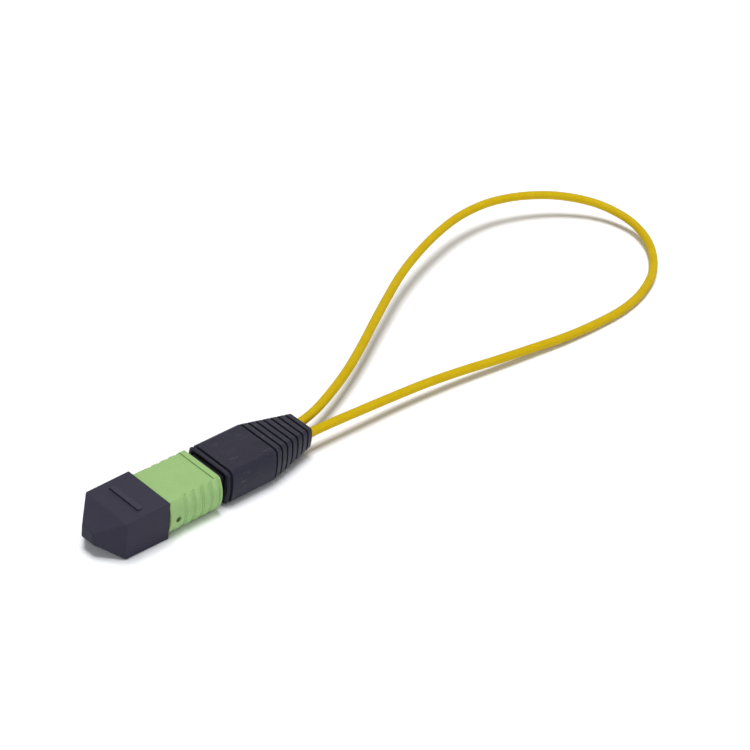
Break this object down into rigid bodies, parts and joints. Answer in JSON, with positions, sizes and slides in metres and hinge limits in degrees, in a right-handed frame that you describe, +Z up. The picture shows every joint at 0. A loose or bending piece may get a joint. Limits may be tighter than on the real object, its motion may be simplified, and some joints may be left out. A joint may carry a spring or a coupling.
{
  "type": "fibre loopback plug",
  "caption": "Push-on multi-fibre optical loopback plug with a pull-off dust cap, a sliding coupling sleeve, a ribbed boot and one thin cord that loops back into the boot.",
  "frame": {"origin": "bottom centre of the plug's box, without the free cord, on the surface that it lies on", "axes": "+X from the dust cap to the boot and the cord, +Z up through the flat top that carries the key"},
  "size_m": [0.1783, 0.0472, 0.0091],
  "materials": {
    "cap_black": "moulded, fine grain",
    "sleeve_green": "moulded, satin",
    "housing_black": "moulded, satin",
    "ferrule_grey": "moulded and polished on its end",
    "epoxy": "cured",
    "glass_fibre": "cleaved and polished",
    "ribbon_coating": "smooth coating",
    "boot_rubber": "soft, matte",
    "keeper_plastic": "moulded",
    "spring_steel": "drawn wire",
    "aramid_yarn": "loose filaments",
    "crimp_metal": "drawn tube",
    "boot_black": "moulded, satin",
    "cord_jacket": "extruded, satin"
  },
  "bodies": {
    "plug": {"inner_housing": "housing_black", "spring_push": "housing_black", "coupling_spring_left": "spring_steel", "coupling_spring_right": "spring_steel", "main_spring": "spring_steel", "fibre_bundle_left": "ribbon_coating", "fibre_bundle_right": "ribbon_coating", "aramid_left": "aramid_yarn", "aramid_right": "aramid_yarn", "crimp_ring": "crimp_metal", "loopback_boot": "boot_black", "cord_loop": "cord_jacket"},
    "cap": {"dust_cap": "cap_black"},
    "sleeve": {"coupling_sleeve": "sleeve_green"},
    "ferrule_group": {"ferrule": "ferrule_grey", "ferrule_epoxy": "epoxy", "glass_fibres": "glass_fibre", "fibre_ribbon": "ribbon_coating", "ferrule_boot": "boot_rubber", "pin_keeper": "keeper_plastic"}
  },
  "joints": [
    {"name": "cap_pull", "type": "slide", "parent": "plug", "child": "cap", "axis": [-1, 0, 0], "range_m": [0, 0.03]},
    {"name": "sleeve_slide", "type": "slide", "parent": "plug", "child": "sleeve", "axis": [1, 0, 0], "range_m": [0, 0.0015], "stiffness_N_per_m": 60, "springref_m": -0.001, "deforming": ["coupling_spring_left", "coupling_spring_right"]},
    {"name": "ferrule_float", "type": "slide", "parent": "plug", "child": "ferrule_group", "axis": [1, 0, 0], "range_m": [0, 0.001], "stiffness_N_per_m": 20, "springref_m": -0.001, "deforming": ["main_spring", "fibre_bundle_left", "fibre_bundle_right"]}
  ]
}
